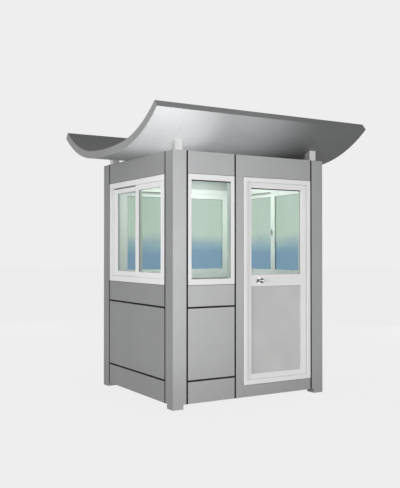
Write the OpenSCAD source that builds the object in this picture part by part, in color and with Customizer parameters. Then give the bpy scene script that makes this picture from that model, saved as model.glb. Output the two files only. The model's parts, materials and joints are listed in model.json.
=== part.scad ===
// Security guard booth: a one-room cabin on corner feet, clad in grey metal panels
// with dark recessed joints, with sliding windows on three sides, a fixed front window,
// a half-glazed front door and an upswept curved roof on four corner posts.
// The origin is at ground level in the middle of the booth. The front faces -Y.

/* [Cabin] */
// Outside width, left to right
cabin_w = 1810; // [1500:10:2600]
// Outside depth, front to rear
cabin_d = 1600; // [1300:10:2400]
// Height of the cladding, bottom edge to top edge
clad_h = 2400; // [2300:10:2700]
// Clear height of the feet under the cladding
foot_h = 45; // [30:1:120]
// Side of the square feet
foot_w = 115; // [80:1:140]
// Thickness of a wall with its cladding
wall_t = 60; // [50:1:100]

/* [Cladding] */
// Depth of the cladding panels and of the recessed joints
panel_t = 12; // [6:1:20]
// Width of the dark recessed joints
joint_w = 12; // [6:1:20]
// Face width of the corner cladding
corner_w = 149; // [140:1:200]
// Height of the bottom row of panels
base_panel_h = 208; // [150:1:300]
// Height of the middle row of panels
mid_panel_h = 682; // [500:1:720]
// Height of the panels under the windows
sill_panel_h = 205; // [120:1:260]
// Height of the panels above the windows and the door
header_h = 214; // [150:1:300]
// Sealed line round a window or door frame
frame_gap = 4; // [2:0.5:8]

/* [Corner posts] */
// Side of the square posts that carry the roof
post_w = 80; // [60:1:90]
// Distance of a post from the outside faces
post_inset = 50; // [30:1:60]

/* [Floor and ceiling] */
// Height of the insulated base under the floor
base_h = 100; // [60:1:140]
// Thickness of the floor deck
deck_t = 18; // [12:1:30]
// Thickness of the ceiling
ceiling_t = 40; // [20:1:80]

/* [Roof] */
// Overhang of the roof past each side wall
roof_side_overhang = 330; // [100:5:600]
// Radius of the flat middle of the roof, on its underside
roof_mid_r = 3800; // [3200:10:5000]
// Half angle of the flat middle of the roof
roof_mid_angle = 5.75; // [4:0.25:8]
// Radius of the upswept ends of the roof, on their underside
roof_end_r = 1370; // [1200:10:1700]
// Slope of the roof at its front and rear edges
roof_tip_angle = 39.25; // [36:0.25:44]
// Thickness of the roof
roof_t = 76; // [40:1:120]
// Space between the lowest line of the roof and the ceiling
roof_gap = 1; // [1:0.5:60]

/* [Windows] */
// Width of a window frame's side members
window_side_w = 36; // [25:1:50]
// Height of a window frame's head and sill
window_head_h = 55; // [35:1:70]
// Distance that the frames stand proud of the cladding
frame_proud = 4; // [0:0.5:10]
// Distance that the window frames stand proud inside
frame_proud_inside = 12; // [6:1:20]
// Width of the sliding sashes' stiles
sash_stile_w = 70; // [40:1:90]
// Height of the sliding sashes' rails
sash_rail_h = 54; // [40:1:70]
// Thickness of a sliding sash
sash_t = 26; // [20:1:30]
// Space between the two sashes of a window
sash_gap = 3; // [2:0.5:6]
// Depth from the wall's face to the outer sash
sash_setback = 14; // [8:1:20]
// Thickness of the glass
glass_t = 6; // [4:0.5:10]
// Depth that glass and door panel reach into their grooves
glass_bite = 10; // [6:1:16]

/* [Front bay] */
// Width of the bay with the front window
window_bay_w = 533; // [450:1:700]
// Height of the strip under the door frame
door_sill_h = 114; // [90:1:118]
// Width of the door frame over its outside
door_frame_w = 845; // [800:1:920]
// Face width of the door frame's side members
door_side_w = 40; // [30:1:60]
// Face height of the door frame's head and threshold
door_head_h = 46; // [36:1:60]
// Amount by which the frame's face overlaps its rebate
rebate_w = 12; // [8:1:16]

/* [Door leaf] */
// Thickness of the door leaf
leaf_t = 40; // [34:1:45]
// Space between the edges of the door leaf and its frame
leaf_gap = 7; // [5:0.5:8]
// Space between the leaf's outside and the face that it closes against
stop_gap = 5; // [3:0.5:8]
// Width of the door leaf's stiles
leaf_stile_w = 73; // [60:1:110]
// Height of the door leaf's top and bottom rails
leaf_rail_h = 61; // [50:1:120]
// Height of the lock rail between glass and panel
lock_rail_h = 115; // [90:1:160]
// Height of the door's lower panel that shows
door_panel_h = 873; // [700:1:1000]
// Thickness of the door's lower panel
door_panel_t = 12; // [8:1:20]

/* [Knob] */
// Diameter of the round knob
knob_d = 51; // [40:1:60]
// Distance of the knob's centre from the leaf's edge
knob_backset = 161; // [120:1:180]
// Distance of the knob's centre from the leaf's face
knob_reach = 54; // [45:1:70]
// Diameter of the knob's neck
knob_neck_d = 22; // [16:1:28]
// Diameter of the roses
rose_d = 64; // [50:1:74]
// Thickness of the roses
rose_t = 8; // [4:1:12]
// Space round a turning shaft
shaft_fit = 0.05; // [0.02:0.01:0.1]

/* [Hinges] */
// Number of hinges on the door
hinge_count = 3; // [2:1:4]
// Length of a hinge
hinge_h = 102; // [80:1:140]
// Outer diameter of the hinge knuckles
knuckle_d = 14; // [10:1:16]
// Diameter of the hinge pin
pin_d = 7; // [5:0.5:8]
// Thickness of the hinge leaves
hinge_t = 3; // [2:0.5:4]
// Width of a hinge leaf
hinge_leaf_w = 24; // [20:1:24]
// Distance of the end hinges from the ends of the door leaf
hinge_inset = 180; // [120:1:300]

/* [Hidden] */
$fn = 64;

// Space left where one piece is seated in another
seat_fit = 0.3;
// Extra length of a cut past the solid that it goes through
cut = 10;

// Heights above the ground
clad_z = foot_h;
clad_top = clad_z + clad_h;
deck_z = clad_z + base_h;
ceiling_z = clad_top - ceiling_t;
opening_z = clad_z + base_panel_h + mid_panel_h + sill_panel_h + 2 * joint_w;
opening_top = clad_top - header_h;
frame_z = opening_z + frame_gap;
frame_top = opening_top - frame_gap;
door_opening_z = clad_z + door_sill_h;
door_frame_z = door_opening_z + frame_gap;
roof_z = clad_top + roof_gap;

// Stations along the walls, measured from a wall's left-hand end as seen from outside
bay_start = corner_w + joint_w;
post_end = post_inset + post_w;
window_bay_end = bay_start + window_bay_w;
door_bay_start = window_bay_end + joint_w;
door_bay_end = cabin_w - bay_start;
door_frame_end = door_bay_end - frame_gap;
door_frame_start = door_frame_end - door_frame_w;

// Sliding sashes
sash_fit = 0.5;
sash_overlap = 50;
inner_sash_y = sash_setback + sash_t + sash_gap;

// Door leaf
leaf_y = wall_t - leaf_t;
frame_face_t = leaf_y - stop_gap;
door_back_side_w = door_side_w - rebate_w;
door_back_head_h = door_head_h - rebate_w;
leaf_start = door_frame_start + door_back_side_w + leaf_gap;
leaf_end = door_frame_end - door_back_side_w - leaf_gap;
leaf_z = door_frame_z + door_back_head_h + leaf_gap;
leaf_top = frame_top - door_back_head_h - leaf_gap;
panel_z = leaf_z + leaf_rail_h;
lock_rail_z = panel_z + door_panel_h;
door_glass_z = lock_rail_z + lock_rail_h;
door_glass_top = leaf_top - leaf_rail_h;
glazed_start = leaf_start + leaf_stile_w;
glazed_end = leaf_end - leaf_stile_w;
knob_x = leaf_start + knob_backset;
knob_z = lock_rail_z + lock_rail_h / 2;

// Hinges, on the inside of the door's right-hand edge
hinge_x = leaf_end + leaf_gap / 2;
hinge_y = wall_t + 1 + knuckle_d / 2;
hinge_play = 0.4;
knuckle_h = (hinge_h - 2 * hinge_play) / 3;
hinge_step = (leaf_top - leaf_z - 2 * hinge_inset - hinge_h) / (hinge_count - 1);

// The roof's curve is three arcs about lines along X, measured from its lowest line
end_arc_y = sin(roof_mid_angle) * (roof_mid_r - roof_end_r);
end_arc_z = roof_mid_r - cos(roof_mid_angle) * (roof_mid_r - roof_end_r);
roof_w = cabin_w + 2 * roof_side_overhang;

panel_grey = "#8b8c8c";
core_grey = "#3a3b3c";
frame_white = "#eef0ee";
metal_grey = "#a9abad";
glass_blue = [0.62, 0.75, 0.76, 0.5];

// Puts a wall, drawn with its outside on the XZ plane, on one side of the cabin
module on_front() {
    translate([-cabin_w / 2, -cabin_d / 2, 0]) children();
}

module on_rear() {
    rotate(180) on_front() children();
}

module on_left() {
    translate([-cabin_w / 2, cabin_d / 2, 0]) rotate(-90) children();
}

module on_right() {
    rotate(180) on_left() children();
}

// A block given by its ranges along the wall, into the wall and in height
module block(x, y, z) {
    translate([x[0], y[0], z[0]]) cube([x[1] - x[0], y[1] - y[0], z[1] - z[0]]);
}

// A rectangular ring in a wall, with members of the given width and height
module ring(x, y, z, side, head) {
    difference() {
        block(x, y, z);
        block([x[0] + side, x[1] - side], [y[0] - cut, y[1] + cut], [z[0] + head, z[1] - head]);
    }
}

// The same ring with a groove round its inside for a pane
module grooved_ring(x, y, z, side, head, pane_y, pane_t) {
    difference() {
        ring(x, y, z, side, head);
        pane_groove([x[0] + side, x[1] - side], [z[0] + head, z[1] - head], pane_y, pane_t);
    }
}

module pane_groove(x, z, pane_y, pane_t) {
    reach = glass_bite + seat_fit;
    block([x[0] - reach, x[1] + reach],
          [pane_y - seat_fit, pane_y + pane_t + seat_fit],
          [z[0] - reach, z[1] + reach]);
}

module pane(x, z, pane_y, pane_t) {
    block([x[0] - glass_bite, x[1] + glass_bite],
          [pane_y, pane_y + pane_t],
          [z[0] - glass_bite, z[1] + glass_bite]);
}

// Corner cladding with the foot under it, drawn for the front left corner
module corner() {
    color(panel_grey) {
        difference() {
            block([0, corner_w], [0, corner_w], [clad_z, clad_top]);
            block([panel_t, corner_w + cut], [panel_t, corner_w + cut],
                  [clad_z - cut, clad_top + cut]);
        }
        cube([foot_w, foot_w, foot_h]);
    }
}

module corner_front_left() {
    translate([-cabin_w / 2, -cabin_d / 2, 0]) corner();
}

module corner_front_right() {
    mirror([1, 0, 0]) corner_front_left();
}

module corner_rear_left() {
    mirror([0, 1, 0]) corner_front_left();
}

module corner_rear_right() {
    rotate(180) corner_front_left();
}

// A sector of the roof: a ring about the X axis, from one slope to another towards +Y
module roof_sector(radius, thickness, length, from_angle, to_angle) {
    rotate([0, -90, 0]) rotate(180 - to_angle)
        rotate_extrude(angle = to_angle - from_angle, $fn = 360)
            translate([radius - thickness, -length / 2]) square([thickness, length]);
}

// The roof's three sheets, or with a larger thickness the space above its underside
module roof_sheets(thickness, length, lift, seam) {
    middle_angle = roof_mid_angle - seam * 180 / PI / roof_mid_r;
    translate([0, 0, roof_z + lift]) {
        translate([0, 0, roof_mid_r])
            roof_sector(roof_mid_r, thickness, length, -middle_angle, middle_angle);
        translate([0, end_arc_y, end_arc_z])
            roof_sector(roof_end_r, thickness, length, roof_mid_angle, roof_tip_angle);
        translate([0, -end_arc_y, end_arc_z])
            roof_sector(roof_end_r, thickness, length, -roof_tip_angle, -roof_mid_angle);
    }
}

// A roof post, cut off at the roof's underside
module post() {
    reach = 700;
    color(frame_white) difference() {
        translate([-cabin_w / 2 + post_inset, -cabin_d / 2 + post_inset, deck_z])
            cube([post_w, post_w, clad_top - deck_z + reach]);
        roof_sheets(reach * 1.5, cabin_w, -seat_fit, 0);
    }
}

module post_front_left() {
    post();
}

module post_front_right() {
    mirror([1, 0, 0]) post();
}

module post_rear_left() {
    mirror([0, 1, 0]) post();
}

module post_rear_right() {
    rotate(180) post();
}

module floor_base() {
    color(core_grey) translate([-cabin_w / 2 + panel_t, -cabin_d / 2 + panel_t, clad_z])
        cube([cabin_w - 2 * panel_t, cabin_d - 2 * panel_t, base_h]);
}

// Square notches that let the four posts through a floor or ceiling
module post_notches(z, height) {
    for (side_x = [0, 1], side_y = [0, 1])
        mirror([side_x, 0, 0]) mirror([0, side_y, 0])
            translate([-cabin_w / 2 + post_inset - seat_fit,
                       -cabin_d / 2 + post_inset - seat_fit, z - cut])
                cube([post_w + 2 * seat_fit, post_w + 2 * seat_fit, height + 2 * cut]);
}

module floor() {
    color("#6f7472") difference() {
        translate([-cabin_w / 2 + wall_t, -cabin_d / 2 + wall_t, deck_z])
            cube([cabin_w - 2 * wall_t, cabin_d - 2 * wall_t, deck_t]);
        post_notches(deck_z, deck_t);
    }
}

module ceiling() {
    color("#d9dbd8") difference() {
        translate([-cabin_w / 2 + panel_t, -cabin_d / 2 + panel_t, ceiling_z])
            cube([cabin_w - 2 * panel_t, cabin_d - 2 * panel_t, ceiling_t]);
        post_notches(ceiling_z, ceiling_t);
    }
}

module roof() {
    color(metal_grey) roof_sheets(roof_t, roof_w, 0, seat_fit);
}

// Walls with one wide sliding window

module window_wall(length) {
    color(core_grey) difference() {
        block([post_end, length - post_end], [panel_t, wall_t], [deck_z, ceiling_z]);
        block([bay_start + frame_gap - seat_fit, length - bay_start - frame_gap + seat_fit],
              [0, wall_t + cut], [frame_z, frame_top + seat_fit]);
    }
}

// The rows of panels under a window, over a bay from start to end
module lower_panels(start, end) {
    mid_z = clad_z + base_panel_h + joint_w;
    sill_z = mid_z + mid_panel_h + joint_w;
    block([start, end], [0, panel_t], [clad_z, clad_z + base_panel_h]);
    block([start, end], [0, panel_t], [mid_z, mid_z + mid_panel_h]);
    block([start, end], [0, panel_t], [sill_z, sill_z + sill_panel_h]);
}

module header_panel(start, end) {
    block([start, end], [0, panel_t], [opening_top, clad_top]);
}

module wall_panels(length) {
    color(panel_grey) {
        lower_panels(bay_start, length - bay_start);
        header_panel(bay_start, length - bay_start);
    }
}

module window_frame(length) {
    color(frame_white)
        ring([bay_start + frame_gap, length - bay_start - frame_gap],
             [-frame_proud, wall_t + frame_proud_inside],
             [frame_z, frame_top], window_side_w, window_head_h);
}

// Ranges of the right-hand and left-hand sashes along a wall, as seen from outside
function outer_sash_x(length) = [
    length / 2 - sash_overlap / 2,
    length - bay_start - frame_gap - window_side_w - sash_fit
];
function inner_sash_x(length) = [
    bay_start + frame_gap + window_side_w + sash_fit,
    length / 2 + sash_overlap / 2
];
sash_z = [frame_z + window_head_h + sash_fit, frame_top - window_head_h - sash_fit];
sash_glass_z = [sash_z[0] + sash_rail_h, sash_z[1] - sash_rail_h];

module window_sashes(length) {
    color(frame_white) {
        window_sash(outer_sash_x(length), sash_setback);
        window_sash(inner_sash_x(length), inner_sash_y);
    }
}

module window_sash(x, y) {
    grooved_ring(x, [y, y + sash_t], sash_z, sash_stile_w, sash_rail_h,
                 y + (sash_t - glass_t) / 2, glass_t);
}

module window_glass(length) {
    color(glass_blue) {
        sash_pane(outer_sash_x(length), sash_setback);
        sash_pane(inner_sash_x(length), inner_sash_y);
    }
}

module sash_pane(x, y) {
    pane([x[0] + sash_stile_w, x[1] - sash_stile_w], sash_glass_z,
         y + (sash_t - glass_t) / 2, glass_t);
}

module left_wall() {
    on_left() window_wall(cabin_d);
}

module left_wall_panels() {
    on_left() wall_panels(cabin_d);
}

module left_window_frame() {
    on_left() window_frame(cabin_d);
}

module left_window_sashes() {
    on_left() window_sashes(cabin_d);
}

module left_window_glass() {
    on_left() window_glass(cabin_d);
}

module right_wall() {
    on_right() window_wall(cabin_d);
}

module right_wall_panels() {
    on_right() wall_panels(cabin_d);
}

module right_window_frame() {
    on_right() window_frame(cabin_d);
}

module right_window_sashes() {
    on_right() window_sashes(cabin_d);
}

module right_window_glass() {
    on_right() window_glass(cabin_d);
}

module rear_wall() {
    on_rear() window_wall(cabin_w);
}

module rear_wall_panels() {
    on_rear() wall_panels(cabin_w);
}

module rear_window_frame() {
    on_rear() window_frame(cabin_w);
}

module rear_window_sashes() {
    on_rear() window_sashes(cabin_w);
}

module rear_window_glass() {
    on_rear() window_glass(cabin_w);
}

// Front wall: a window bay on the left and a door bay on the right

front_window_x = [bay_start + frame_gap, window_bay_end - frame_gap];
front_window_z = [frame_z, frame_top];

module front_lower_wall() {
    color(core_grey) on_front() difference() {
        block([post_end, front_window_x[1] + seat_fit], [panel_t, wall_t], [deck_z, frame_top]);
        block([front_window_x[0] - seat_fit, front_window_x[1] + cut], [0, wall_t + cut],
              [frame_z, frame_top + cut]);
    }
}

// The wall beside the door: between window and door, and behind the last joint
module door_side_walls() {
    color(core_grey) on_front() {
        block([front_window_x[1] + seat_fit, door_frame_start - seat_fit],
              [panel_t, wall_t], [deck_z, frame_top]);
        block([door_frame_end + seat_fit, cabin_w - post_end],
              [panel_t, wall_t], [deck_z, frame_top]);
    }
}

module front_header_wall() {
    color(core_grey) on_front()
        block([post_end, cabin_w - post_end], [panel_t, wall_t], [frame_top, ceiling_z]);
}

module front_lower_panels() {
    color(panel_grey) on_front() lower_panels(bay_start, window_bay_end);
}

module front_header_panels() {
    color(panel_grey) on_front() {
        header_panel(bay_start, window_bay_end);
        header_panel(door_bay_start, door_bay_end);
    }
}

module front_window_frame() {
    color(frame_white) on_front()
        grooved_ring(front_window_x, [-frame_proud, wall_t + frame_proud_inside],
                     front_window_z, window_side_w, window_head_h,
                     sash_setback, glass_t);
}

module front_window_glass() {
    color(glass_blue) on_front()
        pane([front_window_x[0] + window_side_w, front_window_x[1] - window_side_w],
             [front_window_z[0] + window_head_h, front_window_z[1] - window_head_h],
             sash_setback, glass_t);
}

module door_side_panel() {
    color(panel_grey) on_front()
        block([door_bay_start, door_frame_start - frame_gap], [0, panel_t],
              [clad_z, opening_top]);
}

module door_sill_panel() {
    color(panel_grey) on_front()
        block([door_frame_start - frame_gap, door_bay_end], [0, panel_t],
              [clad_z, door_opening_z]);
}

// Door frame: rebated members with the door leaf closing against them from inside

module door_jamb() {
    block([0, door_side_w], [-frame_proud, frame_face_t], [door_frame_z, frame_top]);
    block([0, door_back_side_w], [0, wall_t], [door_frame_z, frame_top]);
}

module door_frame_left() {
    color(frame_white) on_front() translate([door_frame_start, 0, 0]) door_jamb();
}

module door_frame_right() {
    color(frame_white) on_front() translate([door_frame_end, 0, 0]) mirror([1, 0, 0]) door_jamb();
}

// A level member between the jambs, drawn upward from the ground
module door_cross_member() {
    block([door_frame_start + door_side_w, door_frame_end - door_side_w],
          [-frame_proud, frame_face_t], [0, door_head_h]);
    block([door_frame_start + door_back_side_w, door_frame_end - door_back_side_w],
          [frame_face_t, wall_t], [0, door_back_head_h]);
}

module door_frame_head() {
    color(frame_white) on_front() translate([0, 0, frame_top]) mirror([0, 0, 1])
        door_cross_member();
}

module door_threshold() {
    color(frame_white) on_front() translate([0, 0, door_frame_z]) door_cross_member();
}

// Door leaf

glazed_x = [glazed_start, glazed_end];
door_glass_y = leaf_y + (leaf_t - glass_t) / 2;
door_panel_y = leaf_y + (leaf_t - door_panel_t) / 2;

module door_leaf() {
    color(frame_white) on_front() difference() {
        block([leaf_start, leaf_end], [leaf_y, leaf_y + leaf_t], [leaf_z, leaf_top]);
        block(glazed_x, [leaf_y - cut, wall_t + cut], [panel_z, lock_rail_z]);
        block(glazed_x, [leaf_y - cut, wall_t + cut], [door_glass_z, door_glass_top]);
        pane_groove(glazed_x, [panel_z, lock_rail_z], door_panel_y, door_panel_t);
        pane_groove(glazed_x, [door_glass_z, door_glass_top], door_glass_y, glass_t);
        translate([knob_x, leaf_y - cut, knob_z]) rotate([-90, 0, 0])
            cylinder(d = knob_neck_d + 2 * rose_t, h = leaf_t + 2 * cut);
    }
}

module door_glass() {
    color(glass_blue) on_front()
        pane(glazed_x, [door_glass_z, door_glass_top], door_glass_y, glass_t);
}

module door_lower_panel() {
    color(panel_grey) on_front()
        pane(glazed_x, [panel_z, lock_rail_z], door_panel_y, door_panel_t);
}

// Places its children at the foot of each hinge
module at_hinges() {
    for (i = [0 : hinge_count - 1])
        translate([hinge_x, hinge_y, leaf_z + hinge_inset + i * hinge_step]) children();
}

// One leaf of a hinge, to the right of the pin
module hinge_plate(z, height) {
    translate([leaf_gap / 2, wall_t - hinge_y, z]) cube([hinge_leaf_w, hinge_t, height]);
}

// The part of a hinge on the frame: a plate, two knuckles and the pin
module frame_hinge() {
    upper_z = hinge_h - knuckle_h;
    hinge_plate(0, knuckle_h);
    hinge_plate(upper_z, knuckle_h);
    translate([leaf_gap / 2 + hinge_t * 2, wall_t - hinge_y, 0])
        cube([hinge_leaf_w - hinge_t * 2, hinge_t, hinge_h]);
    cylinder(d = knuckle_d, h = knuckle_h);
    translate([0, 0, upper_z]) cylinder(d = knuckle_d, h = knuckle_h);
    cylinder(d = pin_d, h = hinge_h);
}

module hinge_frame_leaves() {
    color(metal_grey) on_front() at_hinges() frame_hinge();
}

// The part of a hinge on the door leaf: a plate and the middle knuckle
module door_hinge() {
    knuckle_z = knuckle_h + hinge_play;
    difference() {
        union() {
            mirror([1, 0, 0]) hinge_plate(knuckle_z, knuckle_h);
            translate([-leaf_gap / 2 - hinge_leaf_w, wall_t - hinge_y, 0])
                cube([hinge_leaf_w - hinge_t * 2, hinge_t, hinge_h]);
            translate([0, 0, knuckle_z]) cylinder(d = knuckle_d, h = knuckle_h);
        }
        translate([0, 0, -cut]) cylinder(d = pin_d + 2 * shaft_fit, h = hinge_h + 2 * cut);
    }
}

module hinge_door_leaves() {
    color(metal_grey) on_front() at_hinges() door_hinge();
}

// Round plates on both faces of the lock rail, joined by a tube through it
module knob_roses() {
    color(metal_grey) on_front() translate([knob_x, leaf_y, knob_z]) rotate([-90, 0, 0])
        difference() {
            union() {
                translate([0, 0, -rose_t]) cylinder(d = rose_d, h = rose_t);
                translate([0, 0, -cut / 2])
                    cylinder(d = knob_neck_d + 2 * rose_t - 2 * seat_fit, h = leaf_t + cut);
                translate([0, 0, leaf_t]) cylinder(d = rose_d, h = rose_t);
            }
            translate([0, 0, -rose_t - cut])
                cylinder(d = knob_neck_d + 2 * shaft_fit, h = leaf_t + 2 * rose_t + 2 * cut);
        }
}

// Knobs on both faces, on one shaft through the roses
module door_knob() {
    color(metal_grey) on_front() translate([knob_x, leaf_y, knob_z]) rotate([-90, 0, 0]) {
        translate([0, 0, -knob_reach]) sphere(d = knob_d);
        translate([0, 0, leaf_t + knob_reach]) sphere(d = knob_d);
        translate([0, 0, -knob_reach])
            cylinder(d = knob_neck_d, h = leaf_t + 2 * knob_reach);
    }
}

corner_front_left();
corner_front_right();
corner_rear_left();
corner_rear_right();
post_front_left();
post_front_right();
post_rear_left();
post_rear_right();
floor_base();
floor();
ceiling();
roof();
left_wall();
left_wall_panels();
left_window_frame();
left_window_sashes();
left_window_glass();
right_wall();
right_wall_panels();
right_window_frame();
right_window_sashes();
right_window_glass();
rear_wall();
rear_wall_panels();
rear_window_frame();
rear_window_sashes();
rear_window_glass();
front_lower_wall();
door_side_walls();
front_header_wall();
front_lower_panels();
front_header_panels();
front_window_frame();
front_window_glass();
door_side_panel();
door_sill_panel();
door_frame_left();
door_frame_right();
door_frame_head();
door_threshold();
door_leaf();
door_glass();
door_lower_panel();
hinge_frame_leaves();
hinge_door_leaves();
knob_roses();
door_knob();
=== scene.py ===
"""Looks for the security guard booth: finishes, small fittings, light and camera.

All places are in metres in the part's own frame: the booth stands on z = 0 and its
front faces -Y. Every fitting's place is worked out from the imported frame's nodes.
"""
import json
import math

import bmesh
import bpy
from mathutils import Matrix, Vector


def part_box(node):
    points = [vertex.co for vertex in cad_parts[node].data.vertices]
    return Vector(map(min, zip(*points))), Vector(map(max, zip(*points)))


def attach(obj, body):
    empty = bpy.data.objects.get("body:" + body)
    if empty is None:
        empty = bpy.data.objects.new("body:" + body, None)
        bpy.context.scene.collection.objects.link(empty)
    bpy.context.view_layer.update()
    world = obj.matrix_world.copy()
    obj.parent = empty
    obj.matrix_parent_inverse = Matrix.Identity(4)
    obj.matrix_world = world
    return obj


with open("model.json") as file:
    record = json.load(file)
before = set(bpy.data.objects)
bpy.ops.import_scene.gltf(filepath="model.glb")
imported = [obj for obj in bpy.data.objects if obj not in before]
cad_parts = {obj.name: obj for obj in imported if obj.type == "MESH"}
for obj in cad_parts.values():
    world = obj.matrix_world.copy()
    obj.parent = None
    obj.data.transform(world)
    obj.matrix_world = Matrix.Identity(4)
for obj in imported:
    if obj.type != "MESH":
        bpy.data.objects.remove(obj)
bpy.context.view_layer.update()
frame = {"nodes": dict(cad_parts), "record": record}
NODES = frame["nodes"]
MM = 0.001


# ---------------------------------------------------------------- finishes

class Finish:
    """A procedural material: a Principled shader and short calls for what feeds it."""

    def __init__(self, name, **plain):
        self.material = bpy.data.materials.new(name)
        self.material.use_nodes = True
        self.tree = self.material.node_tree
        self.shader = self.tree.nodes["Principled BSDF"]
        self.output = self.tree.nodes["Material Output"]
        for socket, value in plain.items():
            self.shader.inputs[socket.replace("_", " ")].default_value = value
        self.place = self.node("ShaderNodeTexCoord").outputs["Object"]

    def node(self, kind, inputs=(), **settings):
        """Adds a node, with settings for its properties and values or links for its inputs."""
        made = self.tree.nodes.new(kind)
        for key, value in settings.items():
            setattr(made, key, value)
        for key, value in dict(inputs).items():
            if isinstance(value, bpy.types.NodeSocket):
                self.tree.links.new(value, made.inputs[key])
            else:
                made.inputs[key].default_value = value
        return made

    def noise(self, scale, stretch=(1, 1, 1), detail=2.0, rough=0.5):
        """Noise between 0 and 1 over the piece, stretched along the axes."""
        mapped = self.node("ShaderNodeMapping", {"Vector": self.place, "Scale": stretch})
        made = self.node("ShaderNodeTexNoise", {"Vector": mapped.outputs[0], "Scale": scale,
                                                "Detail": detail, "Roughness": rough})
        return made.outputs["Fac"]

    def between(self, value, low, high, start=0.0, end=1.0, smooth=False):
        """Value mapped from low..high to start..end, held at the ends."""
        made = self.node("ShaderNodeMapRange", {"Value": value, "From Min": low, "From Max": high,
                                                "To Min": start, "To Max": end},
                         interpolation_type="SMOOTHSTEP" if smooth else "LINEAR")
        return made.outputs["Result"]

    def height(self):
        """Height above the ground."""
        return self.node("ShaderNodeSeparateXYZ", {"Vector": self.place}).outputs["Z"]

    def maths(self, operation, a, b=0.0):
        """The result of one sum on values or links."""
        return self.node("ShaderNodeMath", {0: a, 1: b}, operation=operation).outputs[0]

    def blend(self, factor, a, b):
        """Colour a where factor is 0, and colour b where it is 1."""
        made = self.node("ShaderNodeMix", {"Factor": factor}, data_type="RGBA")
        colours = [s for s in made.inputs if s.type == "RGBA"]
        for socket, value in zip(colours, (a, b)):
            if isinstance(value, bpy.types.NodeSocket):
                self.tree.links.new(value, socket)
            else:
                socket.default_value = (*value, 1.0)
        return [s for s in made.outputs if s.type == "RGBA"][0]

    def feed(self, socket, value):
        """Links a value to one of the shader's inputs."""
        self.tree.links.new(value, self.shader.inputs[socket])

    def bump(self, height, strength, distance):
        """Tilts the surface by a height. Distance is in metres."""
        made = self.node("ShaderNodeBump", {"Height": height, "Strength": strength,
                                            "Distance": distance})
        self.feed("Normal", made.outputs["Normal"])


def grey(value, blue=0.0):
    """A near-neutral colour, a little bluer or, with a negative number, warmer."""
    return (value * (1 - blue), value, value * (1 + blue))


def cladding_paint():
    """Satin metallic coat on flat panels, with a faint upright grain."""
    made = Finish("cladding_paint", Metallic=0.25, Specular_IOR_Level=0.5)
    cloud = made.noise(1.7, detail=3.0)
    flake = made.noise(900.0, detail=1.0)
    grain = made.noise(7.0, stretch=(30, 30, 0.6), detail=4.0, rough=0.6)
    tone = made.blend(made.between(cloud, 0.3, 0.7), grey(0.285, 0.012), grey(0.31, 0.006))
    tone = made.blend(made.between(grain, 0.35, 0.75, 0.0, 0.16), tone, grey(0.36))
    tone = made.blend(made.between(flake, 0.55, 0.8, 0.0, 0.3), tone, grey(0.42))
    # Darker towards the bottom: below half a metre the panels turn a little darker and warmer grey, most at
    # the ground
    low_darkening = made.between(made.height(), 0.05, 0.5, 0.25, 0.0, smooth=True)
    made.feed("Base Color", made.blend(low_darkening, tone, grey(0.23, -0.02)))
    made.feed("Roughness", made.between(grain, 0.2, 0.8, 0.36, 0.46))
    made.bump(grain, 0.12, 0.0004)
    return made


def white_profile(name, tone, roughness):
    """White coated profile with a faint orange peel and a trace of dust."""
    made = Finish(name, Specular_IOR_Level=0.25)
    cloud = made.noise(3.1, detail=3.0)
    peel = made.noise(420.0, detail=2.0)
    made.feed("Base Color", made.blend(made.between(cloud, 0.35, 0.7),
                                       grey(tone, 0.004), grey(tone * 0.965, -0.006)))
    made.feed("Roughness", made.between(cloud, 0.3, 0.7, roughness, roughness + 0.1))
    made.bump(peel, 0.1, 0.0002)
    return made


def roof_metal():
    """Satin sheet metal, brushed along the roof's length. Its end faces are plain, and painted paler than
    the sheet, as painted light.
    """
    made = Finish("roof_metal", Metallic=0.55, Specular_IOR_Level=0.5)
    normal = made.node("ShaderNodeTexCoord").outputs["Normal"]
    sideways = made.node("ShaderNodeSeparateXYZ", {"Vector": normal}).outputs["X"]
    end = made.between(made.maths("ABSOLUTE", sideways), 0.9, 0.96)
    sheet = made.maths("SUBTRACT", 1.0, end)
    brushed = made.maths("MULTIPLY", sheet, made.noise(5.0, stretch=(0.5, 60, 60), detail=5.0, rough=0.65))
    lines = made.maths("MULTIPLY", sheet, made.noise(9.0, stretch=(14, 0.6, 0.6), detail=4.0, rough=0.7))
    cloud = made.noise(1.3, detail=2.0)
    tone = made.blend(made.between(cloud, 0.3, 0.7), grey(0.2, 0.01), grey(0.225, 0.02))
    tone = made.blend(made.between(brushed, 0.35, 0.7, 0.0, 0.3), tone, grey(0.28, 0.01))
    tone = made.blend(made.between(lines, 0.4, 0.75, 0.0, 0.22), tone, grey(0.1))
    # Painted light: the faces towards the roof's ends get a paler grey than the sheet
    end_painted_light = made.blend(made.between(cloud, 0.3, 0.7), grey(0.38), grey(0.42, 0.01))
    made.feed("Base Color", made.blend(end, tone, end_painted_light))
    made.feed("Roughness", made.between(brushed, 0.0, 0.75, 0.5, 0.36))
    made.bump(brushed, 0.15, 0.0003)
    return made


def dark_steel():
    """Dark primed steel of the floor base."""
    made = Finish("base_steel", Metallic=0.2, Specular_IOR_Level=0.3)
    cloud = made.noise(6.0, detail=5.0, rough=0.65)
    made.feed("Base Color", made.blend(made.between(cloud, 0.3, 0.7), grey(0.028), grey(0.05)))
    made.feed("Roughness", made.between(cloud, 0.3, 0.7, 0.5, 0.75))
    made.bump(cloud, 0.2, 0.0006)
    return made


def wall_board():
    """Smooth grey lining board."""
    made = Finish("wall_board", Specular_IOR_Level=0.3)
    cloud = made.noise(2.3, detail=3.0)
    stipple = made.noise(260.0, detail=2.0)
    made.feed("Base Color", made.blend(made.between(cloud, 0.3, 0.7), grey(0.5), grey(0.55, 0.01)))
    made.feed("Roughness", made.between(stipple, 0.3, 0.7, 0.55, 0.7))
    made.bump(stipple, 0.12, 0.0003)
    return made


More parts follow.
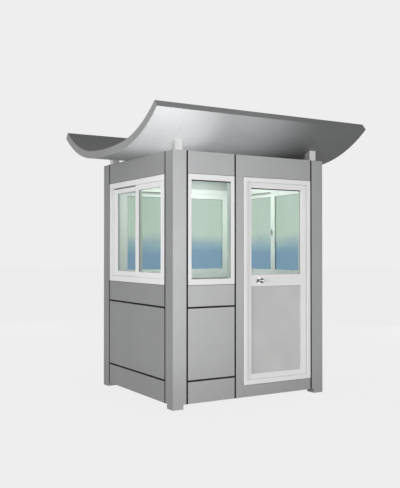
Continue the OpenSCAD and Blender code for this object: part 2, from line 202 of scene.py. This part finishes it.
def floor_sheet():
    """Speckled grey vinyl sheet."""
    made = Finish("floor_sheet", Specular_IOR_Level=0.4)
    speck = made.noise(240.0, detail=1.0)
    cloud = made.noise(5.0, detail=3.0)
    tone = made.blend(made.between(cloud, 0.3, 0.7), grey(0.25), grey(0.3, 0.02))
    tone = made.blend(made.between(speck, 0.6, 0.66, 0.0, 0.7), tone, grey(0.62))
    made.feed("Base Color", made.blend(made.between(speck, 0.4, 0.34, 0.0, 0.6), tone, grey(0.1)))
    made.feed("Roughness", made.between(cloud, 0.3, 0.7, 0.4, 0.6))
    made.bump(speck, 0.08, 0.0003)
    return made


def ceiling_board():
    """White ceiling board with fine pores."""
    made = Finish("ceiling_board", Specular_IOR_Level=0.2)
    pores = made.noise(150.0, detail=3.0, rough=0.7)
    made.feed("Base Color", made.blend(made.between(pores, 0.4, 0.6), grey(0.72), grey(0.78)))
    made.feed("Roughness", made.between(pores, 0.3, 0.7, 0.75, 0.9))
    made.bump(pores, 0.2, 0.0006)
    return made


# A blue painted reflection covers the glass fully up to the first of these heights, and has faded out at
# the second
REFLECTION_FULL_Z = 1.44
REFLECTION_END_Z = 1.72


def window_glass(name, reflection_tint=None):
    """Green-tinted glass. A second tint gives its lower part a painted reflection: a blue cast that fades
    out upwards.
    """
    made = Finish(name, Roughness=0.03, Specular_IOR_Level=0.5)
    streak = made.noise(1.5, stretch=(3, 3, 0.5), detail=2.0)
    tint = made.blend(made.between(streak, 0.3, 0.7), (0.88, 0.94, 0.895), (0.91, 0.955, 0.93))
    body = made.blend(made.between(streak, 0.3, 0.7), grey(0.02), (0.02, 0.035, 0.03))
    if reflection_tint:
        # Painted reflection: the lower part of the pane is tinted and coloured blue, up to a wavy edge
        wave = made.noise(2.2, stretch=(1, 1, 1.6), detail=2.0)
        level = made.maths("ADD", made.height(), made.between(wave, 0.3, 0.7, -0.03, 0.03))
        painted_reflection = made.between(level, REFLECTION_FULL_Z, REFLECTION_END_Z, 1.0, 0.0, smooth=True)
        tint = made.blend(painted_reflection, tint, reflection_tint)
        body = made.blend(painted_reflection, body, (0.02, 0.05, 0.09))
    made.feed("Base Color", body)
    through = made.node("ShaderNodeBsdfTransparent", {"Color": tint})
    # Glass mirrors 4 % face on, and nearly all where it is seen along its surface
    face_on, along, falloff = 0.04, 0.9, 5.0
    facing = made.node("ShaderNodeLayerWeight", {"Blend": 0.5}).outputs["Facing"]
    mirror = made.maths("MULTIPLY", made.maths("POWER", facing, falloff), along)
    share = made.maths("ADD", mirror, face_on)
    mixed = made.node("ShaderNodeMixShader", {0: share, 1: through.outputs[0],
                                              2: made.shader.outputs[0]})
    made.tree.links.new(mixed.outputs[0], made.output.inputs["Surface"])
    return made


def door_infill():
    """Matt light grey board in the door's lower half."""
    made = Finish("door_infill", Specular_IOR_Level=0.25)
    cloud = made.noise(2.6, detail=3.0)
    fine = made.noise(300.0, detail=2.0)
    made.feed("Base Color", made.blend(made.between(cloud, 0.3, 0.7), grey(0.47), grey(0.52, -0.005)))
    made.feed("Roughness", made.between(fine, 0.3, 0.7, 0.5, 0.65))
    made.bump(fine, 0.1, 0.0003)
    return made


def bright_metal(name, tone, roughness, brushed):
    """Bare metal, brushed across the axis with the largest number."""
    made = Finish(name, Metallic=1.0)
    streak = made.noise(40.0, stretch=brushed, detail=4.0)
    made.feed("Base Color", made.blend(made.between(streak, 0.3, 0.7), grey(tone), grey(tone * 0.85)))
    made.feed("Roughness", made.between(streak, 0.3, 0.7, roughness, roughness + 0.12))
    made.bump(streak, 0.05, 0.0002)
    return made


def soft_rubber(name, tone):
    """Matt rubber or sealant."""
    made = Finish(name, Specular_IOR_Level=0.2)
    fine = made.noise(180.0, detail=3.0)
    made.feed("Base Color", made.blend(made.between(fine, 0.3, 0.7), grey(tone), grey(tone * 1.5)))
    made.feed("Roughness", made.between(fine, 0.3, 0.7, 0.6, 0.8))
    made.bump(fine, 0.2, 0.0002)
    return made


FINISHES = {
    "cladding": cladding_paint(),
    "post_paint": white_profile("post_paint", 0.72, 0.4),
    "window_profile": white_profile("window_profile", 0.74, 0.35),
    "roof_metal": roof_metal(),
    "frame_steel": dark_steel(),
    "wall_core": wall_board(),
    "floor_covering": floor_sheet(),
    "ceiling_board": ceiling_board(),
    "window_glass": window_glass("window_glass"),
    "door_panel": door_infill(),
    "hinge_steel": bright_metal("hinge_steel", 0.6, 0.28, (1, 1, 8)),
    "knob_chrome": bright_metal("knob_chrome", 0.36, 0.1, (1, 6, 1)),
}
# Glass of the rear and right windows, with a blue painted reflection on its lower part
GLASS_WITH_PAINTED_REFLECTION = window_glass("glass_painted_reflection", (0.575, 0.70, 0.835))
# Nodes that look different from the rest of their material slot
OWN_FINISHES = {
    "rear_window_glass": GLASS_WITH_PAINTED_REFLECTION,
    "right_window_glass": GLASS_WITH_PAINTED_REFLECTION,
    "knob_roses": bright_metal("rose_satin", 0.8, 0.35, (1, 6, 1)),
}
RUBBER = soft_rubber("joint_rubber", 0.006)
SEALANT = soft_rubber("sealant", 0.05)
GREY_SEAL = soft_rubber("glazing_seal", 0.3)


def dress_nodes():
    """Gives every CAD node the finish of its material slot."""
    for part in frame["record"]["subparts"]:
        finish = OWN_FINISHES.get(part["node"], FINISHES[part["material_slot"]])
        slots = NODES[part["node"]].material_slots
        for slot in slots:
            slot.link = "OBJECT"
            slot.material = finish.material
        if not slots:
            NODES[part["node"]].data.materials.append(finish.material)


# Width of the rounded edges in each material slot
SOFT_EDGES = {"cladding": 1.0 * MM, "post_paint": 1.5 * MM, "window_profile": 1.2 * MM,
              "door_panel": 0.8 * MM}


def soften_edges():
    """Rounds the sharp edges of the flat-sided parts a little, so that they catch the light.

    The door leaf stays sharp, because a bevel leaves lines round its knob hole.
    """
    for part in frame["record"]["subparts"]:
        width = SOFT_EDGES.get(part["material_slot"])
        if width and part["node"] != "door_leaf":
            node = NODES[part["node"]]
            weld = node.modifiers.new("join_faces", "WELD")
            weld.merge_threshold = 0.01 * MM
            bevel = node.modifiers.new("soft_edges", "BEVEL")
            bevel.width = width
            bevel.segments = 2
            bevel.limit_method = "ANGLE"
            bevel.angle_limit = math.radians(35)
            bevel.miter_outer = "MITER_ARC"


# ---------------------------------------------------------------- places on the walls

LOW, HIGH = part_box("corner_front_left")[0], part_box("corner_rear_right")[1]
# For each wall, the turn from its own directions to the part's frame
WALLS = {}
for side, corner, turn in (("front", (LOW.x, LOW.y), 0), ("right", (HIGH.x, LOW.y), 90),
                           ("rear", (HIGH.x, HIGH.y), 180), ("left", (LOW.x, HIGH.y), 270)):
    WALLS[side] = Matrix.Translation((*corner, 0)) @ Matrix.Rotation(math.radians(turn), 4, "Z")
LENGTH = {"front": HIGH.x - LOW.x, "rear": HIGH.x - LOW.x,
          "left": HIGH.y - LOW.y, "right": HIGH.y - LOW.y}


def wall_box(side, low, high):
    """A box's corners as seen from a wall: along it from its left-hand end, into the cabin, and up."""
    back = WALLS[side].inverted()
    ends = [back @ Vector(low), back @ Vector(high)]
    return Vector(map(min, *ends)), Vector(map(max, *ends))


def node_on(side, *names):
    """The box round some CAD nodes, in a wall's own directions."""
    boxes = [wall_box(side, *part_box(name)) for name in names]
    low = Vector([min(box[0][i] for box in boxes) for i in range(3)])
    high = Vector([max(box[1][i] for box in boxes) for i in range(3)])
    return low, high


def solids(node):
    """The boxes of a CAD node's separate solids, in the order of their X, Y and Z."""
    bm = bmesh.new()
    bm.from_mesh(NODES[node].data)
    bmesh.ops.remove_doubles(bm, verts=bm.verts, dist=0.01 * MM)
    waiting, boxes = set(bm.verts), []
    while waiting:
        group, front = set(), [waiting.pop()]
        while front:
            vert = front.pop()
            group.add(vert)
            near = {edge.other_vert(vert) for edge in vert.link_edges} & waiting
            waiting -= near
            front.extend(near)
        places = [vert.co for vert in group]
        low = Vector([min(place[i] for place in places) for i in range(3)])
        high = Vector([max(place[i] for place in places) for i in range(3)])
        boxes.append((low, high))
    bm.free()
    return sorted(boxes, key=lambda box: [round(place, 4) for place in box[0]])


def joint_levels(node):
    """The level joints between a node's panels: pairs of heights less than two joints apart."""
    heights = sorted({round(vert.co.z, 4) for vert in NODES[node].data.vertices})
    return [(a, b) for a, b in zip(heights, heights[1:]) if b - a < 2 * JOINT]


# ---------------------------------------------------------------- shapes

def bar(bm, axis, start, end, outline):
    """A straight bar along axis 0, 1 or 2, whose closed outline is in the other two directions."""
    first, last = [], []
    for ring, place in ((first, start), (last, end)):
        for a, b in outline:
            point = [a, b]
            point.insert(axis, place)
            ring.append(bm.verts.new(point))
    count = len(outline)
    for i in range(count):
        j = (i + 1) % count
        bm.faces.new((first[i], first[j], last[j], last[i]))
    bm.faces.new(first)
    bm.faces.new(reversed(last))


def mitred_ring(bm, low, high, outline):
    """A rectangular ring in a wall's plane. The outline gives distances inward from the edge and depths."""
    corners = ((low[0], low[2], 1, 1), (high[0], low[2], -1, 1),
               (high[0], high[2], -1, -1), (low[0], high[2], 1, -1))
    rings = [[bm.verts.new((u + du * inward, depth, z + dz * inward)) for inward, depth in outline]
             for u, z, du, dz in corners]
    count = len(outline)
    for k in range(4):
        a, b = rings[k], rings[(k + 1) % 4]
        for i in range(count):
            j = (i + 1) % count
            bm.faces.new((a[i], a[j], b[j], b[i]))


def chamfered(low, high, cut):
    """A rectangle with cut corners, as an outline from two opposite corners."""
    (a, c), (b, d) = low, high
    return [(a + cut, c), (b - cut, c), (b, c + cut), (b, d - cut),
            (b - cut, d), (a + cut, d), (a, d - cut), (a, c + cut)]


def rounded(low, high, radius, steps=5):
    """A rectangle with round corners, as an outline."""
    (a, c), (b, d) = low, high
    points = []
    for centre_a, centre_b, first in ((b - radius, d - radius, 0), (a + radius, d - radius, 90),
                                      (a + radius, c + radius, 180), (b - radius, c + radius, 270)):
        for i in range(steps + 1):
            turn = math.radians(first + 90 * i / steps)
            points.append((centre_a + radius * math.cos(turn), centre_b + radius * math.sin(turn)))
    return points


def plate(bm, axis, start, end, centre, half, radius, steps=5):
    """A bar with a round-cornered outline, which half sizes give round a centre."""
    low = [middle - reach for middle, reach in zip(centre, half)]
    high = [middle + reach for middle, reach in zip(centre, half)]
    bar(bm, axis, start, end, rounded(low, high, radius, steps))


def dome(bm, centre, radius, height, axis, sides=12, steps=3):
    """A low domed head on a surface, facing along axis 0, 1 or 2 by the sign of its height."""
    rows = []
    for i in range(steps + 1):
        lean = math.pi / 2 * i / steps
        rows.append((radius * math.cos(lean), height * math.sin(lean)))
    rings = []
    for reach, rise in rows[:-1]:
        ring = []
        for k in range(sides):
            turn = 2 * math.pi * k / sides
            point = [reach * math.cos(turn), reach * math.sin(turn)]
            point.insert(axis, rise)
            ring.append(bm.verts.new(Vector(point) + Vector(centre)))
        rings.append(ring)
    tip = Vector(centre)
    tip[axis] += height
    top = bm.verts.new(tip)
    for low, high in zip(rings, rings[1:]):
        for k in range(sides):
            bm.faces.new((low[k], low[(k + 1) % sides], high[(k + 1) % sides], high[k]))
    for k in range(sides):
        bm.faces.new((rings[-1][k], rings[-1][(k + 1) % sides], top))
    bm.faces.new(rings[0])


def piece(name, bm, side, finish, body, smooth=False):
    """Turns a mesh, drawn on a wall or in the part's frame, into a piece that rides on a body."""
    bmesh.ops.recalc_face_normals(bm, faces=bm.faces)
    if side:
        bm.transform(WALLS[side])
    mesh = bpy.data.meshes.new(name)
    bm.to_mesh(mesh)
    bm.free()
    if smooth:
        mesh.shade_smooth()
    mesh.materials.append(finish.material)
    made = bpy.data.objects.new(name, mesh)
    bpy.context.scene.collection.objects.link(made)
    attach(made, body)


def steel_piece(name, bm, body, smooth=False):
    """A piece of the door's bright steel fittings."""
    piece(name, bm, "front", FINISHES["hinge_steel"], body, smooth)


# ---------------------------------------------------------------- cladding joints and seals

# Width of a corner cladding and of a joint, thickness of a panel, and gap round a window frame
CORNER = node_on("front", "corner_front_left")[1].x
JOINT = node_on("front", "front_lower_panels")[0].x - CORNER
PANEL = node_on("left", "left_wall_panels")[1].y
GAP = node_on("front", "front_window_frame")[0].x - CORNER - JOINT


def gasket_outline(start, end):
    """A rubber strip that fills a joint and laps over both its edges, with a groove along its middle."""
    middle = (start + end) / 2
    lap, slant, rise = 3 * MM, 0.6 * MM, 1.2 * MM
    groove_half, groove_depth = JOINT / 5, 2 * MM
    return [(start, PANEL), (start, 0), (start - lap, 0), (start - lap + slant, -rise),
            (middle - groove_half, -rise), (middle, groove_depth), (middle + groove_half, -rise),
            (end + lap - slant, -rise), (end + lap, 0), (end, 0), (end, PANEL)]


def joint_gaskets(side):
    """Black strips that close a wall's upright and level joints."""
    lower = side + ("_lower_panels" if side == "front" else "_wall_panels")
    bay = node_on(side, lower)
    foot, top = (corner.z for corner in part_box("left_wall_panels"))
    uprights = [CORNER, LENGTH[side] - CORNER - JOINT]
    if side == "front":
        uprights.append(bay[1].x)
    bm = bmesh.new()
    for u in uprights:
        bar(bm, 2, foot, top, gasket_outline(u, u + JOINT))
    for low, high in joint_levels(lower):
        bar(bm, 0, bay[0].x, bay[1].x, [(depth, z) for z, depth in gasket_outline(low, high)])
    piece(side + "_joint_gaskets", bm, side, RUBBER, "booth")


def frame_sealant(name, side, *nodes):
    """A bead of sealant between a window or door frame and the cladding round it."""
    low, high = node_on(side, *nodes)
    outer, middle, inner = 2 * MM, 2.8 * MM, 1.2 * MM
    bm = bmesh.new()
    mitred_ring(bm, low, high, [(0, PANEL), (-GAP, PANEL), (-GAP, outer), (-GAP / 2, middle), (0, inner)])
    piece(name, bm, side, SEALANT, "booth")


# ---------------------------------------------------------------- windows

# Depth that a pane sits in its frame, and size of the seal beside it
BITE = 10 * MM
SEAL = 3 * MM


def glazing_seals(name, side, node, body):
    """Thin grey seals round every pane of a node, outside and inside."""
    bite = Vector((BITE, 0, BITE))
    bm = bmesh.new()
    for box in solids(node):
        low, high = wall_box(side, *box)
        for depth, out in ((low.y, -1), (high.y, 1)):
            outline = [(0, depth), (SEAL, depth),
                       (0.7 * SEAL, depth + 0.6 * out * SEAL), (0, depth + out * SEAL)]
            mitred_ring(bm, low + bite, high - bite, outline)
    piece(name, bm, side, GREY_SEAL, body)


def head_seals_and_shade(side, node, body):
    """A black seal along the top of each pane, outside, where it meets the head; its black also stands for
    the shade under the head, as painted shade.
    """
    drop, drop_outside, thick, lip = 9 * MM, 4 * MM, 5 * MM, 3 * MM
    bm = bmesh.new()
    for box in solids(node):
        low, high = wall_box(side, *box)
        top = high.z - BITE
        bar(bm, 0, low.x + BITE, high.x - BITE,
            [(low.y, top), (low.y, top - drop), (low.y - lip, top - drop + 1 * MM),
             (low.y - thick, top - drop_outside), (low.y - thick, top)])
    piece(node + "_head_seals_and_shade", bm, side, RUBBER, body)


def track_seals_and_shade(side):
    """A black brush along the top of the inner sash, outside, as far as the outer sash; its black also
    stands for the shade under the head, as painted shade.
    """
    sashes = [wall_box(side, *box) for box in solids(side + "_window_sashes")]
    outer, inner = sorted(sashes, key=lambda box: box[0].y)
    depth, top = inner[0].y, inner[1].z
    drop, drop_outside, thick = 7 * MM, 5 * MM, 5 * MM
    bm = bmesh.new()
    bar(bm, 0, inner[0].x, outer[0].x,
        [(depth, top), (depth, top - drop),
         (depth - thick + 1 * MM, top - drop_outside), (depth - thick, top)])
    piece(side + "_track_seals_and_shade", bm, side, RUBBER, "booth")


def weep_covers(side, node):
    """Two small covers, each with a raised lip, over the drain holes in a window frame's sill."""
    low, high = node_on(side, node)
    z = low.z + 14 * MM
    cover, thick = (15 * MM, 4 * MM), 1.6 * MM
    lip = (10 * MM, 1.25 * MM)
    bm = bmesh.new()
    for share in (0.22, 0.78):
        u = low.x + (high.x - low.x) * share
        plate(bm, 1, low.y, low.y - thick, (u, z), cover, 3.5 * MM)
        plate(bm, 1, low.y - thick, low.y - 2 * thick, (u, z + lip[1]), lip, 1.2 * MM, steps=3)
    piece(side + "_weep_covers", bm, side, FINISHES["window_profile"], "booth")


def sash_lock(side, meeting, face, z):
    """A crescent lock inside on the meeting stiles: its base, boss and lever, and two screws."""
    base_top = face + 4 * MM
    boss_top = base_top + 6 * MM
    lever = (4 * MM, 22 * MM)
    bm = bmesh.new()
    plate(bm, 1, face, base_top, (meeting, z), (9 * MM, 32 * MM), 8 * MM)
    plate(bm, 1, base_top, boss_top, (meeting, z), (8 * MM, 9 * MM), 7.5 * MM)
    plate(bm, 1, base_top + 2 * MM, boss_top + 2 * MM, (meeting, z + lever[1]), lever, 3.5 * MM)
    for rise in (-24 * MM, 24 * MM):
        dome(bm, (meeting, base_top, z + rise), 3.2 * MM, 1.4 * MM, 1)
    piece(side + "_sash_lock", bm, side, FINISHES["hinge_steel"], "booth")


def finger_pull(side, stile, face, z):
    """A finger pull outside on the closing stile: a thin plate with a rib near one edge."""
    thick = 1.5 * MM
    bm = bmesh.new()
    plate(bm, 1, face, face - thick, (stile, z), (11 * MM, 45 * MM), 10.5 * MM)
    plate(bm, 1, face - thick, face - 2 * thick, (stile - 5 * MM, z), (2 * MM, 38 * MM), 1.9 * MM, steps=3)
    piece(side + "_finger_pull", bm, side, FINISHES["window_profile"], "booth")


def sash_fittings(side):
    """The lock and the finger pull, half way up a window's sashes."""
    panes = [wall_box(side, *box) for box in solids(side + "_window_glass")]
    outer, inner = sorted(panes, key=lambda box: box[0].y)
    low, high = node_on(side, side + "_window_sashes")
    z = (low.z + high.z) / 2
    sash_lock(side, (outer[0].x + inner[1].x) / 2, high.y, z)
    finger_pull(side, (outer[1].x - BITE + high.x) / 2, low.y, z)


# ---------------------------------------------------------------- door

def door_weatherstrip():
    """A rubber bulb round the door frame's stop, just clear of the leaf."""
    frame_low, frame_high = node_on("front", "door_frame_left", "door_frame_right",
                                    "door_frame_head", "door_threshold")
    jamb = node_on("front", "door_frame_left")
    head = node_on("front", "door_frame_head")
    face = Vector((jamb[1].x - jamb[0].x, 0, head[1].z - head[0].z))
    radius, inset, clear = 2.2 * MM, 3.2 * MM, 0.5 * MM
    centre = node_on("front", "door_leaf")[0].y - radius - clear
    outline = [(radius * math.cos(math.radians(45 * i)) - inset,
                centre + radius * math.sin(math.radians(45 * i))) for i in range(8)]
    bm = bmesh.new()
    mitred_ring(bm, frame_low + face, frame_high - face, outline)
    piece("door_weatherstrip", bm, "front", RUBBER, "booth")


def rebate(node, axis):
    """Where a door frame member's rebate face lies: between its outer side and its inner edge."""
    corners = [wall_box("front", vert.co, vert.co)[0][axis] for vert in NODES[node].data.vertices]
    return sorted({round(corner, 5) for corner in corners})[1]


def lock_plates():
    """The lock's face plate and latch on the leaf's edge, and the strike plate on the jamb."""
    leaf = node_on("front", "door_leaf")
    rose = node_on("front", "knob_roses")
    centre = ((leaf[0].y + leaf[1].y) / 2, (rose[0].z + rose[1].z) / 2)
    edge = leaf[0].x
    plate_face = edge - 1.5 * MM
    bm = bmesh.new()
    plate(bm, 0, edge, plate_face, centre, (11 * MM, 95 * MM), 8 * MM)
    latch = [(centre[0] + a * 7 * MM, centre[1] + b * 11 * MM)
             for a, b in ((-1, -1), (1, -1), (1, 1), (-1, 1))]
    bar(bm, 0, plate_face, plate_face - 3 * MM, latch)
    for rise in (-80 * MM, 80 * MM):
        dome(bm, (plate_face, centre[0], centre[1] + rise), 3.5 * MM, -1.2 * MM, 0)
    steel_piece("lock_face_plate", bm, "door")
    back = rebate("door_frame_left", 0)
    strike_face = back + 1.2 * MM
    bm = bmesh.new()
    plate(bm, 0, back, strike_face, centre, (12 * MM, 60 * MM), 6 * MM)
    for rise in (-48 * MM, 48 * MM):
        dome(bm, (strike_face, centre[0], centre[1] + rise), 3.5 * MM, 0.8 * MM, 0)
    steel_piece("strike_plate", bm, "booth")


def knob_details():
    """A key cylinder in the outer knob, a turn button in the inner one, and screws in the roses."""
    knob = node_on("front", "door_knob")
    rose = node_on("front", "knob_roses")
    centre = ((knob[0].x + knob[1].x) / 2, (knob[0].z + knob[1].z) / 2)
    proud = 0.2 * MM
    bm = bmesh.new()
    plate(bm, 1, knob[0].y - proud, knob[0].y + 2 * MM, centre, (8 * MM, 8 * MM), 7.9 * MM, steps=8)
    plate(bm, 1, knob[1].y - 1 * MM, knob[1].y + proud, centre, (7 * MM, 2 * MM), 1.8 * MM, steps=4)
    steel_piece("knob_cylinder", bm, "knob")
    bm = bmesh.new()
    for depth, rise in ((rose[0].y, -1 * MM), (rose[1].y, 1 * MM)):
        for turn in (-1, 1):
            dome(bm, (centre[0] + turn * 24 * MM, depth, centre[1]), 3 * MM, rise, 1)
    steel_piece("rose_screws", bm, "door", smooth=True)


def hinge_screws(node, body, name):
    """Three screw heads on each hinge leaf."""
    knuckle_radius, leaf_thick, from_axis = 7 * MM, 4 * MM, 18 * MM
    axis = node_on("front", "hinge_frame_leaves")[0].x + knuckle_radius
    face = node_on("front", "door_leaf")[1].y + leaf_thick
    u = axis + from_axis if body == "booth" else axis - from_axis
    bm = bmesh.new()
    for low, high in solids(node):
        for share in (0.15, 0.5, 0.85):
            dome(bm, (u, face, low.z + (high.z - low.z) * share), 3.6 * MM, 1.3 * MM, 1)
    steel_piece(name, bm, body, smooth=True)


def door_tread():
    """A ribbed metal tread on the threshold, under the leaf."""
    leaf = node_on("front", "door_leaf")
    top = rebate("door_threshold", 2)
    side_gap, edge_gap, rib_height, ribs = 2 * MM, 1 * MM, 2.4 * MM, 7
    near, far = leaf[0].y + edge_gap, leaf[1].y - edge_gap
    pitch = (far - near) / ribs
    outline = [(near, top)]
    for i in range(ribs):
        for along, up in ((0.1, 0.5), (0.3, 1.0), (0.7, 1.0), (0.9, 0.5)):
            outline.append((near + (i + along) * pitch, top + up * rib_height))
    outline.append((far, top))
    bm = bmesh.new()
    bar(bm, 0, leaf[0].x + side_gap, leaf[1].x - side_gap, outline)
    steel_piece("door_tread", bm, "booth")


# ---------------------------------------------------------------- inside and roof

def cabin_trim():
    """Skirting along the floor and a cove under the ceiling, inside every wall."""
    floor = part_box("floor")[1].z
    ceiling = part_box("ceiling")[0].z
    wall = node_on("left", "left_wall")[1].y
    door = node_on("front", "door_frame_left")[0].x
    skirting = [(0, 0), (10, 0), (10, 50), (6, 56), (0, 58)]
    cove = [(0, 0), (0, -26), (6, -24), (16, -15), (22, -6), (24, 0)]
    for side in WALLS:
        end = LENGTH[side] - wall
        skirting_end = door - 2 * MM if side == "front" else end
        bm = bmesh.new()
        bar(bm, 0, wall, skirting_end, [(wall + a * MM, floor + b * MM) for a, b in skirting])
        bar(bm, 0, wall, end, [(wall + a * MM, ceiling + b * MM) for a, b in cove])
        piece(side + "_inside_trim", bm, side, FINISHES["ceiling_board"], "booth")


def post_collars():
    """Rubber collars where the posts rise out of the ceiling."""
    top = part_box("ceiling")[1].z
    width, rise, cut = 7 * MM, 5 * MM, 1.5 * MM
    bm = bmesh.new()
    for name in ("front_left", "front_right", "rear_left", "rear_right"):
        low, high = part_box("post_" + name)
        for start in (low.y - width, high.y):
            outline = chamfered((start, top), (start + width, top + rise), cut)
            bar(bm, 0, low.x - width, high.x + width, outline)
        for start in (low.x - width, high.x):
            outline = chamfered((start, top), (start + width, top + rise), cut)
            bar(bm, 1, low.y, high.y, outline)
    piece("post_collars", bm, None, RUBBER, "booth")


# ---------------------------------------------------------------- all fittings

def add_fittings():
    """Makes every piece that the CAD leaves to this script."""
    for side in WALLS:
        joint_gaskets(side)
    for side in ("left", "right", "rear"):
        frame_sealant(side + "_window_sealant", side, side + "_window_frame")
        glazing_seals(side + "_glazing_seals", side, side + "_window_glass", "booth")
        weep_covers(side, side + "_window_frame")
        track_seals_and_shade(side)
        sash_fittings(side)
    frame_sealant("front_window_sealant", "front", "front_window_frame")
    frame_sealant("door_sealant", "front", "door_frame_left", "door_frame_right")
    glazing_seals("front_glazing_seals", "front", "front_window_glass", "booth")
    glazing_seals("door_glazing_seals", "front", "door_glass", "door")
    glazing_seals("door_panel_seals", "front", "door_lower_panel", "door")
    weep_covers("front", "front_window_frame")
    head_seals_and_shade("front", "front_window_glass", "booth")
    head_seals_and_shade("front", "door_glass", "door")
    door_weatherstrip()
    lock_plates()
    knob_details()
    hinge_screws("hinge_frame_leaves", "booth", "frame_hinge_screws")
    hinge_screws("hinge_door_leaves", "door", "door_hinge_screws")
    door_tread()
    cabin_trim()
    post_collars()


# ---------------------------------------------------------------- stage, light, camera

# Brightness of the backdrop as the camera sees it, the light that it gives, and the part of
# the floor's brightness that darkens in a shadow
BACKDROP = 0.855
AMBIENT = 0.375
FLOOR_SHADE = 0.02


def make_floor():
    """A pale round floor, as bright as the backdrop, with only a faint shadow on it."""
    bm = bmesh.new()
    bmesh.ops.create_circle(bm, cap_ends=True, segments=96, radius=60.0)
    mesh = bpy.data.meshes.new("studio_floor")
    bm.to_mesh(mesh)
    bm.free()
    floor = bpy.data.objects.new("studio_floor", mesh)
    bpy.context.scene.collection.objects.link(floor)
    made = Finish("studio_floor", Roughness=0.9, Specular_IOR_Level=0.0)
    made.shader.inputs["Base Color"].default_value = (*grey(FLOOR_SHADE), 1)
    made.shader.inputs["Emission Color"].default_value = (1, 1, 1, 1)
    made.shader.inputs["Emission Strength"].default_value = BACKDROP - FLOOR_SHADE
    mesh.materials.append(made.material)
    floor.visible_diffuse = False
    floor.visible_glossy = False
    floor.visible_shadow = False


def make_world():
    """A plain white surround: dimmer as a light than as the backdrop."""
    world = bpy.data.worlds.new("studio")
    bpy.context.scene.world = world
    world.use_nodes = True
    tree = world.node_tree
    background = tree.nodes["Background"]
    path = tree.nodes.new("ShaderNodeLightPath")
    seen = tree.nodes.new("ShaderNodeMapRange")
    tree.links.new(path.outputs["Is Camera Ray"], seen.inputs["Value"])
    seen.inputs["To Min"].default_value = AMBIENT
    seen.inputs["To Max"].default_value = BACKDROP
    tree.links.new(seen.outputs[0], background.inputs["Strength"])
    background.inputs["Color"].default_value = (1, 1, 1, 1)


def hang_light(data, place, target, watts):
    """Puts a light in the scene, out of the camera's sight."""
    data.energy = watts
    light = bpy.data.objects.new(data.name, data)
    light.location = place
    light.visible_camera = False
    light.rotation_euler = (Vector(target) - light.location).to_track_quat("-Z", "Y").to_euler()
    bpy.context.scene.collection.objects.link(light)
    return light


def softbox(name, place, target, size, watts):
    """A large soft light."""
    data = bpy.data.lights.new(name, "AREA")
    data.shape = "RECTANGLE"
    data.size, data.size_y = size
    return hang_light(data, place, target, watts)


def spotlight(name, place, target, cone_deg, watts):
    """A small spot with a soft rim."""
    data = bpy.data.lights.new(name, "SPOT")
    data.spot_size = math.radians(cone_deg)
    data.spot_blend = 1.0
    data.shadow_soft_size = 0.05
    return hang_light(data, place, target, watts)


def light_group(name, nodes):
    """A collection of CAD nodes that a light is linked to."""
    group = bpy.data.collections.new(name)
    for node in nodes:
        group.objects.link(NODES[node])
    return group


def light_only(light, *nodes):
    """Keeps a light, and the shadows in it, to these CAD nodes."""
    group = light_group(light.name + "_receivers", nodes)
    light.light_linking.receiver_collection = group
    light.light_linking.blocker_collection = group


def light_all_but(light, *nodes):
    """Keeps a light off these CAD nodes."""
    group = light_group(light.name + "_exceptions", nodes)
    for member in group.collection_objects:
        member.light_linking.link_state = "EXCLUDE"
    light.light_linking.receiver_collection = group


EYE = (-4.2231, -6.8232, 1.4936)
LOOKS_UP_DEG = 0.535
LOOKS_RIGHT_DEG = 30.966
LENS_MM = 54.2287


def make_camera():
    """The camera at eye level, in front of the booth's front left corner."""
    data = bpy.data.cameras.new("camera")
    data.sensor_width = 36.0
    data.lens = LENS_MM
    data.clip_end = 200.0
    camera = bpy.data.objects.new("camera", data)
    camera.location = EYE
    camera.rotation_euler = (math.radians(90 + LOOKS_UP_DEG), 0.0, math.radians(-LOOKS_RIGHT_DEG))
    bpy.context.scene.collection.objects.link(camera)
    bpy.context.scene.camera = camera


def light_walls():
    """Soft light from all four sides, and the front panels' sheen."""
    left = softbox("left_softbox", (-7.0, -3.0, 1.6), (-0.9, 0.0, 1.4), (4.0, 3.0), 350)
    light_all_but(left, "post_front_left", "post_front_right")
    softbox("front_softbox", (0.0, -8.5, 1.8), (0.0, -0.8, 1.5), (4.0, 3.0), 255)
    sheen = softbox("front_sheen", (1.9, -7.5, 1.4), (-0.1, -0.8, 1.3), (5.0, 5.2), 215)
    sheen.visible_diffuse = False
    right = softbox("right_softbox", (7.0, 1.5, 1.8), (0.9, 0.0, 1.4), (4.5, 3.5), 220)
    right.visible_glossy = False
    rear = softbox("rear_softbox", (-1.0, 8.0, 2.4), (0.0, 0.8, 1.5), (4.5, 3.5), 220)
    rear.visible_glossy = False


def light_roof():
    """Two spots from the ground in front, onto the left-hand end of the roof's underside."""
    wash = spotlight("roof_wash", (-1.15, -4.0, 0.4), (-0.8, -1.0, 2.75), 42, 1700)
    light_only(wash, "roof")
    glow = spotlight("roof_glow", (-1.12, -2.5, 0.0), (-1.0, -0.84, 2.6), 24, 1050)
    light_only(glow, "roof")


def light_inside():
    """A lamp under the ceiling, and a fill for the sashes that show through the door's glass."""
    cabin = softbox("cabin_light", (0.0, 0.0, 2.39), (0.0, 0.0, 0.0), (1.3, 1.1), 20)
    cabin.visible_glossy = False
    sash_fill = softbox("sash_fill", (4.5, -4.0, 1.7), (0.9, 0.0, 1.7), (1.0, 1.0), 170)
    light_only(sash_fill, "right_window_sashes")


dress_nodes()
soften_edges()
add_fittings()
make_camera()
make_floor()
make_world()
light_walls()
light_roof()
light_inside()
bpy.context.scene.view_settings.view_transform = "Standard"
